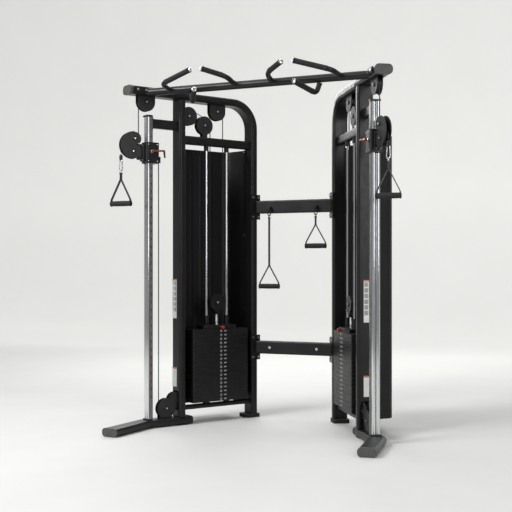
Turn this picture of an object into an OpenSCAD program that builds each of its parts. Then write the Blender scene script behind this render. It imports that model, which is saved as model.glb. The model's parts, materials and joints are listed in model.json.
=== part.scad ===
// Dual adjustable cable machine: two towers, each with its own weight stack,
// cable and height-adjustable pulley head, joined by a pull-up bar and two beams.
// +X is the user's right, +Y points to the back, +Z is up, all in millimetres.
// Each tower has its own frame: its x runs forwards and outwards along the tower,
// its y points to the outer side, and its origin is under the front upright.

/* [Overall] */
// Sideways distance from the middle to a front upright
tower_x = 622; // [560:1:700]
// Front-to-back place of a front upright
tower_y = 22; // [-20:1:40]
// Angle between the X axis and the line of a tower
tower_turn = 57.65; // [50:0.05:65]

/* [Frame tubes] */
// Depth of an upright tube along its tower
upright_d = 50; // [44:1:60]
// Width of an upright tube across its tower
upright_w = 100; // [90:1:110]
// Wall of the frame tubes
wall = 3; // [2:0.5:4]
// Distance from the front upright back to the rear upright
rear_gap = 569; // [520:1:620]
// Height of the middle of the rear upright's top run
arch_z = 2127; // [2100:1:2150]
// Radius of the bend at the top of the rear upright
arch_r = 165; // [140:1:180]
// Height of the middle of the top arm
arm_z = 2133; // [2120:1:2150]
// How far the top arm reaches in front of the upright
arm_reach = 362; // [340:1:400]
// Height of the foot tube
foot_h = 50; // [44:1:56]
// Width of the foot tube and the top arm
foot_w = 104; // [96:1:112]
// Angle of the bend in the foot
foot_bend = 26; // [20:0.5:32]
// Length of the foot in front of its bend
foot_front = 354; // [300:1:380]

/* [Column and carriage] */
// Distance from the front upright forward to the column
column_x = 238; // [225:1:250]
// Radius of a guide tube
guide_r = 12.5; // [11:0.5:14]
// Height of the top of the guide tubes
column_top = 1975; // [1900:5:2000]
// Distance between the holes of the height rail
hole_pitch = 50; // [25:5:60]
// Height of the middle of the carriage
carriage_z = 1746; // [1600:1:1746]
// Distance from the column forward to the swivel of the pulley head
swivel_reach = 60; // [56:1:64]
// Angle that the pulley heads are turned outwards
head_turn = 7; // [0:1:20]

/* [Pulleys and cable] */
// Radius of the cable
cable_r = 2.5; // [2:0.25:3]
// Radius at which the cable runs on a large pulley
run_r = 50; // [46:1:52]
// Radius at which the cable runs on a pulley of the head
head_run_r = 29; // [27:0.5:30]
// Radius at which the cable runs on the rear base pulley
small_run_r = 30; // [28:0.5:32]

/* [Weight stack] */
// Number of plates in each stack, without the head plate
plate_count = 18; // [12:1:20]
// Height from one plate to the next
plate_pitch = 26.5; // [24:0.5:27]
// Length of a plate along its tower
plate_l = 430; // [380:5:440]
// Width of a plate across its tower
plate_w = 120; // [100:5:130]
// Distance between the two guide rods
rod_gap = 160; // [150:2:180]
// Radius of a guide rod
rod_r = 9.5; // [8:0.5:11]

/* [Bar and beams] */
// Height of the pull-up bar
bar_z = 2124; // [2115:1:2135]
// Radius of the pull-up bar
bar_r = 24; // [20:1:26]
// Radius of a rubber hand grip on the bar
grip_r = 16; // [14:1:18]
// Height of the middle of the upper beam
upper_beam_z = 1430; // [1300:1:1500]
// Height of the middle of the lower beam
lower_beam_z = 477; // [420:1:520]
// Height of a beam
beam_h = 88; // [70:1:100]
// Depth of a beam
beam_d = 50; // [40:1:60]

/* [Hidden] */
$fn = 48;

left = -1;
right = 1;
eps = 0.5;

// Heights and places that follow from the frame
shoe_h = 24;
foot_lift = 2;
foot_top = foot_lift + foot_h;
arm_h = 56;
arm_bottom = arm_z - arm_h / 2;
arch_bottom = arch_z - upright_d / 2;
rear_x = -rear_gap;
arm_back = -50;
foot_back = -60;
foot_bend_x = 252;
corner_r = 20;

// Cross tubes of a tower
cross_z = 1852;
cross_h = 55;
low_z = 106;
low_h = 28;
strut_z = 1937;
strut_h = 60;
brace_w = 50;

// Column: the two guide tubes stand side by side, the rail on their inner side
column_y = -5;
guide_gap = 26;
column_base = foot_top + 8;
rail_x = column_x - 12;
rail_w = 24;
rail_t = 5;
rail_y = column_y - guide_gap / 2 - guide_r - eps - rail_t / 2;
swivel_x = column_x + swivel_reach;

// Pulleys: axle places as [x, z] in the tower's frame
stack_x = -288;
arm_axle = [swivel_x - run_r, 2070];
front_axle = [-66, 2008];
middle_axle = [stack_x + 2 * run_r, 1957];
rear_axle = [stack_x, 2058];
lower_x = 153;
base_front_axle = [lower_x - run_r, 114];
inner_x = front_axle[0] + run_r;
base_rear_axle = [inner_x + small_run_r, 160];
float_axle = [stack_x, 786];
wheel_w = 20;
base_slot = 26;
wheel_lip = 5;
cover_gap = 13;
cover_t = 5;
cover_r = 61;
axle_r = 6;
run_fit = 0.06;

// Pulley head, measured from its swivel along the head and from the carriage's middle
upper_axle = [head_run_r, carriage_z + 85];
lower_axle = [40, carriage_z + 4];
hood_c = [37, carriage_z + 44];
hood_r = 86;
ball_reach = 116;
ball_z = carriage_z - 24;

// Weight stack
stack_bottom = low_z + low_h / 2 + 16;
stack_top = stack_bottom + plate_count * plate_pitch;
head_plate_t = 24;
pin_z = stack_top + head_plate_t / 2;
rod_top = cross_z - cross_h / 2;

// Beams and bar: the rear uprights' middle in the machine's own frame
rear_post_y = tower_y + rear_gap * sin(tower_turn);
bar_s = 282;
bar_y = tower_y - bar_s * sin(tower_turn);
hook_x = 165;
beam_bolt_x = 167;
hook_y = rear_post_y - beam_d / 2;

// Hand grips on the bar: foot on the bar, bend, and end of the rubber, on the right side,
// measured from the middle of the bar
GRIPS = [
  [[556, 0, 0], [541, -150, 13], [328, -198, 73]],
  [[119, 0, 4], [129, -110, 34], [252, -200, 73]],
  [[425, 0, -8], [402, -12, -88], [318, -160, -38]]
];

// Frames that place a piece
module on_right_tower() {
  translate([tower_x, tower_y, 0]) rotate([0, 0, -tower_turn]) children();
}

module on_tower(side) {
  if (side == right) on_right_tower() children();
  else mirror([1, 0, 0]) on_right_tower() children();
}

module both_towers() {
  for (side = [left, right]) on_tower(side) children();
}

module on_head(side) {
  on_tower(side) translate([swivel_x, 0, 0]) rotate([0, 0, head_turn]) children();
}

// Turns a piece so that it lies along the machine's X axis again
module square_to_machine() {
  rotate([0, 0, tower_turn - head_turn]) children();
}

// Common shapes
module rounded_rect(w, h, r) {
  square([w - 2 * r, h], center = true);
  square([w, h - 2 * r], center = true);
  for (x = [-1, 1], y = [-1, 1]) translate([x * (w / 2 - r), y * (h / 2 - r)]) circle(r = r);
}

module tube_profile(w, h, r) {
  difference() {
    rounded_rect(w, h, r);
    rounded_rect(w - 2 * wall, h - 2 * wall, r - wall);
  }
}

// A tube along x, its first size up and its second size across
module tube_x(x0, x1, z, up, across, r) {
  translate([x0, 0, z]) rotate([0, 90, 0]) linear_extrude(x1 - x0) tube_profile(up, across, r);
}

module box(x0, x1, y0, y1, z0, z1) {
  translate([x0, y0, z0]) cube([x1 - x0, y1 - y0, z1 - z0]);
}

module along_y(x, z, y0, y1, r) {
  translate([x, y0, z]) rotate([-90, 0, 0]) cylinder(h = y1 - y0, r = r);
}

module rod_between(a, b, r) {
  d = b - a;
  translate(a) rotate([0, acos(d[2] / norm(d)), atan2(d[1], d[0])]) cylinder(h = norm(d), r = r);
}

// An arc of cable in the xz plane, from angle a0 by sweep, counted from +x towards +z
module cable_arc(c, r, a0, sweep) {
  translate([c[0], 0, c[1]]) rotate([90, 0, 0]) rotate([0, 0, a0])
    rotate_extrude(angle = sweep, $fn = 36) translate([r, 0]) circle(r = cable_r, $fn = 16);
}

module cable_line(a, b) {
  rod_between([a[0], 0, a[1]], [b[0], 0, b[1]], cable_r);
}

function on_circle(c, r, a) = [c[0] + r * cos(a), c[1] + r * sin(a)];

// Angle of the normal of the line that touches two circles on the same side
function outer_tangent(c1, r1, c2, r2) =
  let (d = c2 - c1) atan2(d[1], d[0]) + acos((r1 - r2) / norm(d));

// Frame
module front_upright() {
  difference() {
    translate([0, 0, foot_top]) linear_extrude(arm_bottom - foot_top) tube_profile(upright_d, upright_w, 16);
    box(-upright_d / 2 - 1, -10, -wheel_w, wheel_w, front_axle[1] - 68, front_axle[1] + 68);
    box(0, upright_d / 2 + 1, -base_slot, base_slot, base_rear_axle[1] - 62, base_rear_axle[1] + 60);
  }
}

module front_uprights() {
  color("#2a2a2b") both_towers() front_upright();
}

module rear_upright() {
  difference() {
    union() {
      translate([rear_x, 0, shoe_h]) linear_extrude(arch_z - arch_r - shoe_h)
        tube_profile(upright_d, upright_w, 16);
      translate([rear_x + arch_r, 0, arch_z - arch_r]) rotate([90, 0, 0]) rotate([0, 0, 90])
        rotate_extrude(angle = 90) translate([arch_r, 0]) tube_profile(upright_d, upright_w, 16);
      tube_x(rear_x + arch_r, arm_back, arch_z, upright_d, upright_w, 16);
    }
    box(rear_axle[0] - cover_r - 2, rear_axle[0] + cover_r + 2, -wheel_w, wheel_w, arch_bottom - 1, arch_z);
  }
}

module rear_uprights() {
  color("#2a2a2b") both_towers() rear_upright();
}

module top_arm() {
  difference() {
    tube_x(arm_back, arm_reach, arm_z, arm_h, foot_w, corner_r + 4);
    box(arm_axle[0] - cover_r - 3, arm_axle[0] + cover_r + 3, -wheel_w, wheel_w, arm_bottom - 1, arm_z);
  }
}

module top_arms() {
  color("#303031") both_towers() top_arm();
}

// Everything past the mitre plane of the foot's bend, on the side that dir points to
module past_mitre(turn, dir) {
  weld_gap = 0.1;
  rotate([0, 0, turn]) translate([dir * (200 - weld_gap), 0, 0]) cube(400, center = true);
}

module in_front_of_bend() {
  translate([foot_bend_x, 0, 0]) rotate([0, 0, -foot_bend]) children();
}

module foot_rail() {
  foot_mid = foot_lift + foot_h / 2;
  difference() {
    tube_x(foot_back, foot_bend_x + 60, foot_mid, foot_h, foot_w, corner_r);
    translate([foot_bend_x, 0, 0]) past_mitre(-foot_bend / 2, 1);
  }
  in_front_of_bend() difference() {
    tube_x(-60, foot_front, foot_mid, foot_h, foot_w, corner_r);
    past_mitre(foot_bend / 2, -1);
  }
}

module foot_rails() {
  color("#2c2c2d") both_towers() foot_rail();
}

module cross_tube() {
  difference() {
    tube_x(rear_x + upright_d / 2, -upright_d / 2, cross_z, cross_h, brace_w, 12);
    for (x = [-run_r, run_r]) translate([stack_x + x, 0, cross_z - cross_h])
      cylinder(h = 2 * cross_h, r = 8);
  }
}

module column_mounts() {
  cap_d = 44;
  cap_w = 2 * guide_r + guide_gap + 12;
  for (z = [[foot_top, column_base], [column_top, column_top + 10]])
    translate([column_x - 4, column_y - 3, z[0]]) linear_extrude(z[1] - z[0])
      rounded_rect(cap_d, cap_w, 8);
  box(column_x - 30, column_x - guide_r - 2, rail_y + rail_t / 2, rail_y + 22, strut_z - 42, column_top);
}

module rod_collars() {
  for (x = [-1, 1]) translate([stack_x + x * rod_gap / 2, 0, rod_top - 32]) difference() {
    cylinder(h = 32, r = 16);
    translate([0, 0, -1]) cylinder(h = 34, r = rod_r);
  }
}

module tower_braces() {
  color("#262627") both_towers() {
    cross_tube();
    tube_x(rear_x + upright_d / 2, -upright_d / 2, low_z, low_h, brace_w, 10);
    tube_x(upright_d / 2, column_x - 30, strut_z, strut_h, 40, 10);
    column_mounts();
    rod_collars();
  }
}

module guide_tubes() {
  color("#d8dadb") both_towers() for (y = [-1, 1])
    translate([column_x, column_y + y * guide_gap / 2, column_base]) difference() {
      cylinder(h = column_top - column_base, r = guide_r);
      translate([0, 0, -1]) cylinder(h = column_top - column_base + 2, r = guide_r - 2);
    }
}

module height_rail() {
  first_hole = 200;
  last_hole = strut_z - 60;
  difference() {
    box(rail_x - rail_w / 2, rail_x + rail_w / 2, rail_y - rail_t / 2, rail_y + rail_t / 2,
      column_base, column_top);
    for (z = [first_hole : hole_pitch : last_hole])
      along_y(rail_x, z, rail_y - rail_t, rail_y + rail_t, 4.5);
  }
}

module height_rails() {
  color("#a8a9a8") both_towers() height_rail();
}

// Shroud: a folded sheet on the outer side, its corners round
shroud_t = 3;
shroud_out = 205;
shroud_in = 56;
shroud_fold = 60;
shroud_bottom = 100;
shroud_top = 1822;
shroud_front = -upright_d / 2 - 3;
shroud_rear = rear_x + upright_d / 2 + 3;

function fold_arc(c, r, a0, a1, n) = [for (i = [0 : n]) on_circle(c, r, a0 + (a1 - a0) * i / n)];

function shroud_line(inset) =
  let (r = shroud_fold - inset, f = shroud_front - inset, b = shroud_rear + inset, w = shroud_out - inset)
  concat(
    [[f, shroud_in]],
    fold_arc([f - 22 - r, w - r], r, 10, 90, 10),
    fold_arc([b + 22 + r, w - r], r, 90, 170, 10),
    [[b, shroud_in]]
  );

module side_shroud() {
  inner = shroud_line(shroud_t);
  points = concat(shroud_line(0), [for (i = [len(inner) - 1 : -1 : 0]) inner[i]]);
  translate([0, 0, shroud_bottom]) linear_extrude(shroud_top - shroud_bottom) polygon(points);
  for (x = [[shroud_front - 3, shroud_front], [shroud_rear, shroud_rear + 3]])
    box(x[0], x[1], brace_w / 2 + 2, shroud_in + eps, shroud_bottom, shroud_top);
}

module side_shrouds() {
  color("#242425") both_towers() side_shroud();
}

module guide_rods() {
  color("#d4d6d8") both_towers() for (x = [-1, 1])
    translate([stack_x + x * rod_gap / 2, 0, low_z + low_h / 2]) cylinder(h = rod_top - low_z - low_h / 2, r = rod_r);
}

module weight_plate() {
  difference() {
    translate([stack_x, 0, 0]) linear_extrude(plate_pitch - 1) rounded_rect(plate_l, plate_w, 6);
    for (x = [-1, 1]) translate([stack_x + x * rod_gap / 2, 0, -1]) cylinder(h = plate_pitch + 2, r = rod_r + 1.5);
    translate([stack_x, 0, -1]) cylinder(h = plate_pitch + 2, r = 12);
    along_y(stack_x, (plate_pitch - 1) / 2, -plate_w / 2 - 1, 0, 5);
  }
}

module weight_plates() {
  color("#222223") both_towers() for (i = [0 : plate_count - 1])
    translate([0, 0, stack_bottom + i * plate_pitch]) weight_plate();
}

// Two plates either side of a pulley, cut from a flat outline in the xz plane
module cover_pair() {
  for (y = [-cover_gap - cover_t, cover_gap]) translate([0, y + cover_t, 0]) rotate([90, 0, 0])
    linear_extrude(cover_t) difference() {
      children(0);
      children(1);
    }
}

module round_cover(c, top) {
  translate(c) circle(r = cover_r, $fn = 96);
  if (top > c[1]) translate([c[0] - cover_r, c[1]]) square([2 * cover_r, top - c[1]]);
}

module axle_hole(c) {
  translate(c) circle(r = axle_r);
}

module tower_covers() {
  cover_pair() { round_cover(arm_axle, arm_bottom + 2); axle_hole(arm_axle); }
  cover_pair() { round_cover(front_axle, 0); axle_hole(front_axle); }
  cover_pair() { round_cover(rear_axle, arch_bottom + 2); axle_hole(rear_axle); }
  cover_pair() {
    union() {
      round_cover(middle_axle, 0);
      translate([middle_axle[0] - 18, cross_z + cross_h / 2]) square([36, 40]);
    }
    axle_hole(middle_axle);
  }
  cover_pair() {
    difference() {
      union() {
        translate(base_front_axle) circle(r = cover_r + 3, $fn = 96);
        translate([base_rear_axle[0] + 24, base_rear_axle[1] + 2]) circle(r = 52, $fn = 96);
        translate([base_front_axle[0] - 40, foot_top]) square([90, 40]);
      }
      translate([-200, foot_top - 300]) square([500, 300]);
    }
    for (c = [base_front_axle, base_rear_axle]) axle_hole(c);
  }
}

module pulley_covers() {
  color("#363637") both_towers() tower_covers();
}

// Pull-up bar and its grips
module pull_up_bar() {
  color("#242425") {
    difference() {
      translate([-tower_x - 200, bar_y, bar_z]) rotate([0, 90, 0]) cylinder(h = 2 * tower_x + 400, r = bar_r);
      both_towers() box(50, 500, -foot_w / 2, 400, bar_z - 100, bar_z + 100);
    }
    both_towers() box(bar_s - 16, bar_s + 66, -foot_w / 2 - 12, -foot_w / 2, arm_z - 18, arm_z + 18);
  }
}

function grip_point(g, i, side) = [side * g[i][0], bar_y + g[i][1], bar_z + g[i][2]];
function grip_along(g, side) =
  let (d = grip_point(g, 2, side) - grip_point(g, 1, side)) d / norm(d);
function grip_start(g, side) =
  let (a = grip_point(g, 0, side), d = grip_point(g, 1, side) - a) a + d / norm(d) * (bar_r - 8);

module bar_grips() {
  color("#1c1c1d") for (side = [left, right], g = GRIPS) {
    difference() {
      rod_between(grip_start(g, side), grip_point(g, 1, side), grip_r - 2);
      translate([side * g[0][0] - 60, bar_y, bar_z]) rotate([0, 90, 0]) cylinder(h = 120, r = bar_r + 0.1);
    }
    translate(grip_point(g, 1, side)) sphere(r = grip_r - 1);
    rod_between(grip_point(g, 1, side), grip_point(g, 2, side), grip_r);
  }
}

module grip_caps() {
  color("#d0d2d4") for (side = [left, right], g = GRIPS) {
    end = grip_point(g, 2, side);
    rod_between(end, end + grip_along(g, side) * 6, grip_r - 1);
    rod_between(end + grip_along(g, side) * 6, end + grip_along(g, side) * 9, grip_r - 5);
  }
}

// Beams between the rear uprights
module beam(z) {
  difference() {
    translate([-rear_gap, rear_post_y, z]) rotate([0, 90, 0]) linear_extrude(2 * rear_gap)
      tube_profile(beam_h, beam_d, 10);
    both_towers() box(rear_x - 300, rear_x + 300, -upright_w / 2 - 8, 700, z - 200, z + 200);
  }
  both_towers() box(rear_x - 38, rear_x + 38, -upright_w / 2 - 8, -upright_w / 2, z - 84, z + 84);
}

module crossbeams() {
  color("#262627") {
    beam(upper_beam_z);
    beam(lower_beam_z);
  }
}

// A ring with straight sides, like a snap hook, hanging in the xz plane
module snap_ring(top, length, half_w, r) {
  for (a = [0, 180]) translate([0, 0, top - (a == 0 ? half_w : length - half_w)]) rotate([90, 0, 0])
    rotate([0, 0, a]) rotate_extrude(angle = 180) translate([half_w, 0]) circle(r = r, $fn = 24);
  for (x = [-half_w, half_w]) translate([x, 0, top - length + half_w]) cylinder(h = length - 2 * half_w, r = r);
}

hook_l = 30;
hook_z = upper_beam_z - 6;
hook_ring_y = hook_y - 16;

module storage_hooks() {
  color("#1a1a1b") for (side = [left, right]) translate([side * hook_x, 0, hook_z]) {
    translate([0, hook_y, 0]) rotate([90, 0, 0]) cylinder(h = hook_l, r = 5.5);
    translate([0, hook_y - hook_l, 0]) rotate([90, 0, 0]) cylinder(h = 6, r = 11);
  }
}

// Fasteners: each pulley turns on its own axle bolt
module axle_bolt(c) {
  along_y(c[0], c[1], -cover_gap - cover_t, cover_gap + cover_t, axle_r);
  for (y = [-1, 1]) translate([c[0], y * (cover_gap + cover_t), c[1]]) rotate([-90 * y, 0, 0])
    cylinder(h = 5, r = 10, $fn = 6);
}

module screw_head(r, h) {
  cylinder(h = h, r = r);
}

module tower_bolts() {
  for (c = [arm_axle, front_axle, middle_axle, rear_axle, base_front_axle, base_rear_axle]) axle_bolt(c);
  for (z = [shroud_top - 12, 1241, 739, 240]) for (x = [shroud_front - 3, shroud_rear + 3])
    translate([x, 36, z]) rotate([0, x > stack_x ? -90 : 90, 0]) screw_head(5, 3);
  for (z = [upper_beam_z, lower_beam_z], dz = [-66, 66], x = [-22, 22])
    translate([rear_x + x, -upright_w / 2 - 8, z + dz]) rotate([90, 0, 0]) screw_head(8, 6);
  for (x = [bar_s - 4, bar_s + 54]) translate([x, -foot_w / 2 - 12, arm_z]) rotate([90, 0, 0]) screw_head(7, 5);
}

module frame_bolts() {
  color("#c4c6c8") {
    both_towers() tower_bolts();
    for (x = [-beam_bolt_x, beam_bolt_x]) translate([x, hook_y, lower_beam_z]) rotate([90, 0, 0]) screw_head(9, 6);
  }
}

module flat_cap(length, up, across, r) {
  rotate([0, 90, 0]) linear_extrude(length) rounded_rect(up, across, r);
}

module end_caps() {
  foot_mid = foot_lift + foot_h / 2;
  color("#6a6b6a") both_towers() {
    translate([arm_reach, 0, arm_z]) flat_cap(18, arm_h + 2, foot_w + 2, corner_r + 5);
    in_front_of_bend() translate([foot_front, 0, foot_mid]) flat_cap(14, foot_h + 2, foot_w + 2, corner_r + 1);
  }
}

module rubber_pads() {
  color("#161617") both_towers() {
    translate([rear_x + 10, 0, 0]) linear_extrude(shoe_h) rounded_rect(112, upright_w + 8, 20);
    translate([foot_back - 16, 0, 1]) translate([0, 0, foot_h / 2 + 1]) flat_cap(16, foot_h, foot_w, corner_r);
    translate([-5, 0, 0]) linear_extrude(foot_lift) rounded_rect(80, 90, 10);
    in_front_of_bend() translate([foot_front - 60, 0, 0]) linear_extrude(foot_lift) rounded_rect(90, 80, 10);
    for (x = [-1, 1]) translate([stack_x + x * rod_gap / 2, 0, low_z + low_h / 2]) difference() {
      cylinder(h = stack_bottom - low_z - low_h / 2, r = 22);
      translate([0, 0, -1]) cylinder(h = 40, r = rod_r);
    }
  }
}

// Cables that only run through: over the arm pulley and the rear top pulley,
// and from the middle top pulley down inside the front upright to the base
module tower_cable() {
  over = outer_tangent(rear_axle, run_r, arm_axle, run_r);
  cable_arc(arm_axle, run_r, 0, over);
  cable_line(on_circle(arm_axle, run_r, over), on_circle(rear_axle, run_r, over));
  cable_arc(rear_axle, run_r, over, 180 - over);
  top = outer_tangent(middle_axle, run_r, front_axle, run_r);
  cable_arc(middle_axle, run_r, top, 180 - top);
  cable_line(on_circle(middle_axle, run_r, top), on_circle(front_axle, run_r, top));
  cable_arc(front_axle, run_r, 0, top);
  cable_line([inner_x, front_axle[1]], [inner_x, base_rear_axle[1]]);
  under = outer_tangent(base_front_axle, run_r, base_rear_axle, small_run_r);
  cable_arc(base_rear_axle, small_run_r, 180, under - 180);
  cable_line(on_circle(base_rear_axle, small_run_r, under), on_circle(base_front_axle, run_r, under));
  cable_arc(base_front_axle, run_r, under, 360 - under);
}

module fixed_cables() {
  color("#2b2b2b") both_towers() tower_cable();
}

// Pulley wheel about the y axis, its groove at radius run
module wheel(c, run) {
  translate([c[0], 0, c[1]]) rotate([90, 0, 0]) difference() {
    cylinder(h = wheel_w, r = run + wheel_lip, center = true);
    cylinder(h = wheel_w + 2, r = axle_r + run_fit, center = true);
    rotate_extrude() {
      translate([run, 0]) circle(r = cable_r + 0.6);
      translate([run, -cable_r - 0.6]) square([wheel_lip + 1, 2 * cable_r + 1.2]);
    }
    for (y = [-1, 1]) translate([0, 0, y * wheel_w / 2]) difference() {
      cylinder(h = 6, r = run - 8, center = true);
      cylinder(h = 8, r = 14, center = true);
    }
  }
}

module wheel_on_tower(side, c, run) {
  color("#111112") on_tower(side) wheel(c, run);
}

module wheel_on_head(side, c) {
  color("#111112") on_head(side) wheel(c, head_run_r);
}

// Carriage: a housing on the guide tubes with two ears that hold the swivel
housing_bottom = carriage_z - 66;
housing_top = carriage_z + 66;
ear_t = 10;
ear_r = 12.5;
ear_low = carriage_z - 46;
ear_high = carriage_z + 43;
pivot_r = 8;
lug_h = 40;
pin_x = rail_x;

module ear(z) {
  translate([0, 0, z]) linear_extrude(ear_t) difference() {
    union() {
      translate([column_x + 20, -ear_r]) square([swivel_reach - 20, 2 * ear_r]);
      translate([swivel_x, 0]) circle(r = ear_r);
    }
    translate([swivel_x, 0]) circle(r = pivot_r + run_fit);
  }
}

module housing_outline() {
  translate([column_x - 22, column_y - 2]) rounded_rect(94, 76, 14);
}

module carriage(side) {
  color("#1d1d1e") on_tower(side) {
    difference() {
      union() {
        translate([0, 0, housing_bottom]) linear_extrude(housing_top - housing_bottom) housing_outline();
        box(column_x + 20, column_x + 38, -20, 20, carriage_z - 54, carriage_z + 54);
        box(lower_x - 9, column_x - 60, -11, 11, housing_bottom + 8, housing_bottom + 8 + lug_h);
        ear(ear_low);
        ear(ear_high);
      }
      for (y = [-1, 1]) translate([column_x, column_y + y * guide_gap / 2, housing_bottom - 1])
        cylinder(h = 140, r = guide_r + run_fit);
      box(column_x - 4, column_x + 4, column_y - 4, column_y + 4, housing_bottom - 1, housing_top + 1);
      box(rail_x - rail_w / 2 - 1, rail_x + rail_w / 2 + 1, rail_y - rail_t / 2 - 1,
        rail_y + rail_t / 2 + 1, housing_bottom - 1, housing_top + 1);
      along_y(pin_x, carriage_z + 8, -60, rail_y, 4 + run_fit);
    }
  }
}

module pull_pin(side) {
  pin_start = rail_y - rail_t / 2 - 0.8;
  face = column_y - 40;
  color("#8a3a22") on_tower(side) translate([0, 0, carriage_z + 8]) {
    along_y(pin_x, 0, face - 24, pin_start, 4);
    along_y(pin_x, 0, face - 26, face - 0.8, 10);
    rod_between([pin_x, face - 19, 0], [column_x - 84, face - 27, 5], 6);
    translate([column_x - 84, face - 27, 5]) sphere(r = 6.5);
    rod_between([column_x - 84, face - 27, 5], [column_x - 90, face - 28, -38], 6);
  }
}

// Pulley head: two comma-shaped plates, a hollow swivel post and the axle bolts
module hood_outline() {
  difference() {
    union() {
      intersection() {
        translate(hood_c) circle(r = hood_r, $fn = 96);
        translate([hood_c[0] - 8, hood_c[1] - 100]) square([200, 200]);
      }
      translate(upper_axle) circle(r = 42, $fn = 64);
      translate([lower_axle[0] - 4, lower_axle[1]]) circle(r = 44, $fn = 64);
      translate([18, carriage_z - 34]) square([52, 66]);
    }
    for (z = [ear_low, ear_high]) translate([-60, z - 2]) square([76, ear_t + 4]);
  }
}

module swivel_head(side) {
  post_low = ear_low + ear_t + 0.4;
  post_high = ear_high - 0.4;
  color("#363637") on_head(side) {
    for (y = [-cover_gap - cover_t, cover_gap]) translate([0, y + cover_t, 0]) rotate([90, 0, 0])
      linear_extrude(cover_t) difference() {
        hood_outline();
        for (c = [upper_axle, lower_axle]) axle_hole(c);
      }
    difference() {
      union() {
        translate([0, 0, post_low]) cylinder(h = post_high - post_low, r = 14);
        translate([0, 0, ear_low]) cylinder(h = ear_high + ear_t - ear_low, r = pivot_r);
        box(-10, 8, -cover_gap - 2, cover_gap + 2, post_low + 6, carriage_z + 30);
      }
      translate([0, 0, ear_low - 1]) cylinder(h = 200, r = 4.5);
      box(5, 30, -wheel_w / 2 - 1, wheel_w / 2 + 1, lower_axle[1] - 37, lower_axle[1] + 37);
      box(-4, 30, -5, 5, carriage_z + 24, post_high + 30);
    }
    for (c = [upper_axle, lower_axle]) axle_bolt(c);
  }
}

// Weight stack head: top plate, selector stem, rod sleeves and the floating pulley's cheeks
stem_r = 10;
sleeve_h = 62;
neck_z = 715;

module stack_head(side) {
  color("#2a2a2b") on_tower(side) {
    difference() {
      union() {
        translate([stack_x, 0, stack_top + 0.4]) linear_extrude(head_plate_t) rounded_rect(252, 100, 8);
        for (x = [-1, 1]) translate([stack_x + x * rod_gap / 2, 0, stack_top + 1])
          cylinder(h = head_plate_t + sleeve_h, r = 14.5);
        translate([stack_x, 0, stack_bottom + 20]) cylinder(h = neck_z - stack_bottom - 20, r = stem_r);
        box(stack_x - 16, stack_x + 16, -cover_gap - cover_t, cover_gap + cover_t, neck_z - 8, neck_z + 8);
      }
      for (x = [-1, 1]) translate([stack_x + x * rod_gap / 2, 0, stack_top - 1])
        cylinder(h = 120, r = rod_r + run_fit);
      along_y(stack_x, pin_z, -60, 20, 4 + run_fit);
    }
    cover_pair() {
      union() {
        translate(float_axle) circle(r = run_r + 7, $fn = 96);
        translate([stack_x - 16, neck_z]) square([32, 30]);
      }
      axle_hole(float_axle);
    }
    axle_bolt(float_axle);
  }
}

module selector_pin(side) {
  color("#b0302a") on_tower(side) {
    along_y(stack_x, pin_z, -74, 12, 4);
    along_y(stack_x, pin_z, -92, -62, 11);
  }
}

// Handle that hangs from the cable: ball stop and snap hook, then a strap with a grip
snap_top = ball_z - 18;
snap_l = 78;
snap_w = 11;
strap_top = snap_top - snap_l - 4;
strap_fork_z = 1566;
strap_grip_z = 1419;
grip_half = 72;
disc_t = 9;
disc_r = 18;
strap_w = 26;
strap_t = 3;
stem_t = 9;

module handle_hook(side) {
  color("#a9abad") on_head(side) translate([ball_reach, 0, 0]) {
    translate([0, 0, ball_z - 14]) cylinder(h = 28, r = 11);
    translate([0, 0, ball_z - 20]) cylinder(h = 8, r = 6);
    translate([0, 0, ball_z + 13]) cylinder(h = 8, r = 4);
    square_to_machine() snap_ring(snap_top, snap_l, snap_w, 3.2);
  }
}

// Strap and grip: the doubled strap hangs from z = top to the fork, the grip lies along x
module hanging_handle(top, fork_z, grip_z) {
  grip_l = 2 * (grip_half - disc_t) + 2 * eps;
  web_x = grip_half - disc_t / 2;
  web_z = grip_z + disc_r + 6;
  box(-stem_t / 2, stem_t / 2, -strap_w / 2, strap_w / 2, fork_z, top);
  translate([-grip_l / 2, 0, grip_z]) rotate([0, 90, 0]) cylinder(h = grip_l, r = 15);
  for (x = [-1, 1]) {
    slanted_web([x, fork_z + 4], [x * web_x, web_z - 2], strap_w - 1);
    translate([x * web_x, 0, grip_z]) {
      rotate([0, 90, 0]) cylinder(h = disc_t, r = disc_r, center = true);
      box(-stem_t / 4, stem_t / 4, 1 - strap_w / 2, strap_w / 2 - 1, 0, web_z - grip_z);
    }
  }
}

// A flat web from a to b in the xz plane
module slanted_web(a, b, w) {
  d = b - a;
  translate([a[0], 0, a[1]]) rotate([0, -atan2(d[1], d[0]), 0])
    box(0, norm(d), -w / 2, w / 2, -strap_t / 2, strap_t / 2);
}

module strap_handle(side) {
  color("#1b1b1c") on_head(side) translate([ball_reach, 0, 0]) square_to_machine()
    hanging_handle(strap_top, strap_fork_z, strap_grip_z);
}

// Cable runs that change length
module upper_run(side) {
  color("#2b2b2b") on_tower(side) cable_line([swivel_x, arm_axle[1]], [swivel_x, upper_axle[1]]);
}

module lower_run(side) {
  color("#2b2b2b") on_tower(side) cable_line([lower_x, base_front_axle[1]], [lower_x, housing_bottom + 7]);
}

module stack_runs(side) {
  color("#2b2b2b") on_tower(side) {
    cable_line([stack_x - run_r, rear_axle[1]], [stack_x - run_r, float_axle[1]]);
    cable_line([stack_x + run_r, middle_axle[1]], [stack_x + run_r, float_axle[1]]);
    cable_arc(float_axle, run_r, 180, 180);
  }
}

// Spare handles that hang from the upper beam
store_ring_w = 10;
store_ring_l = 64;
store_drop = 135;

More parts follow.
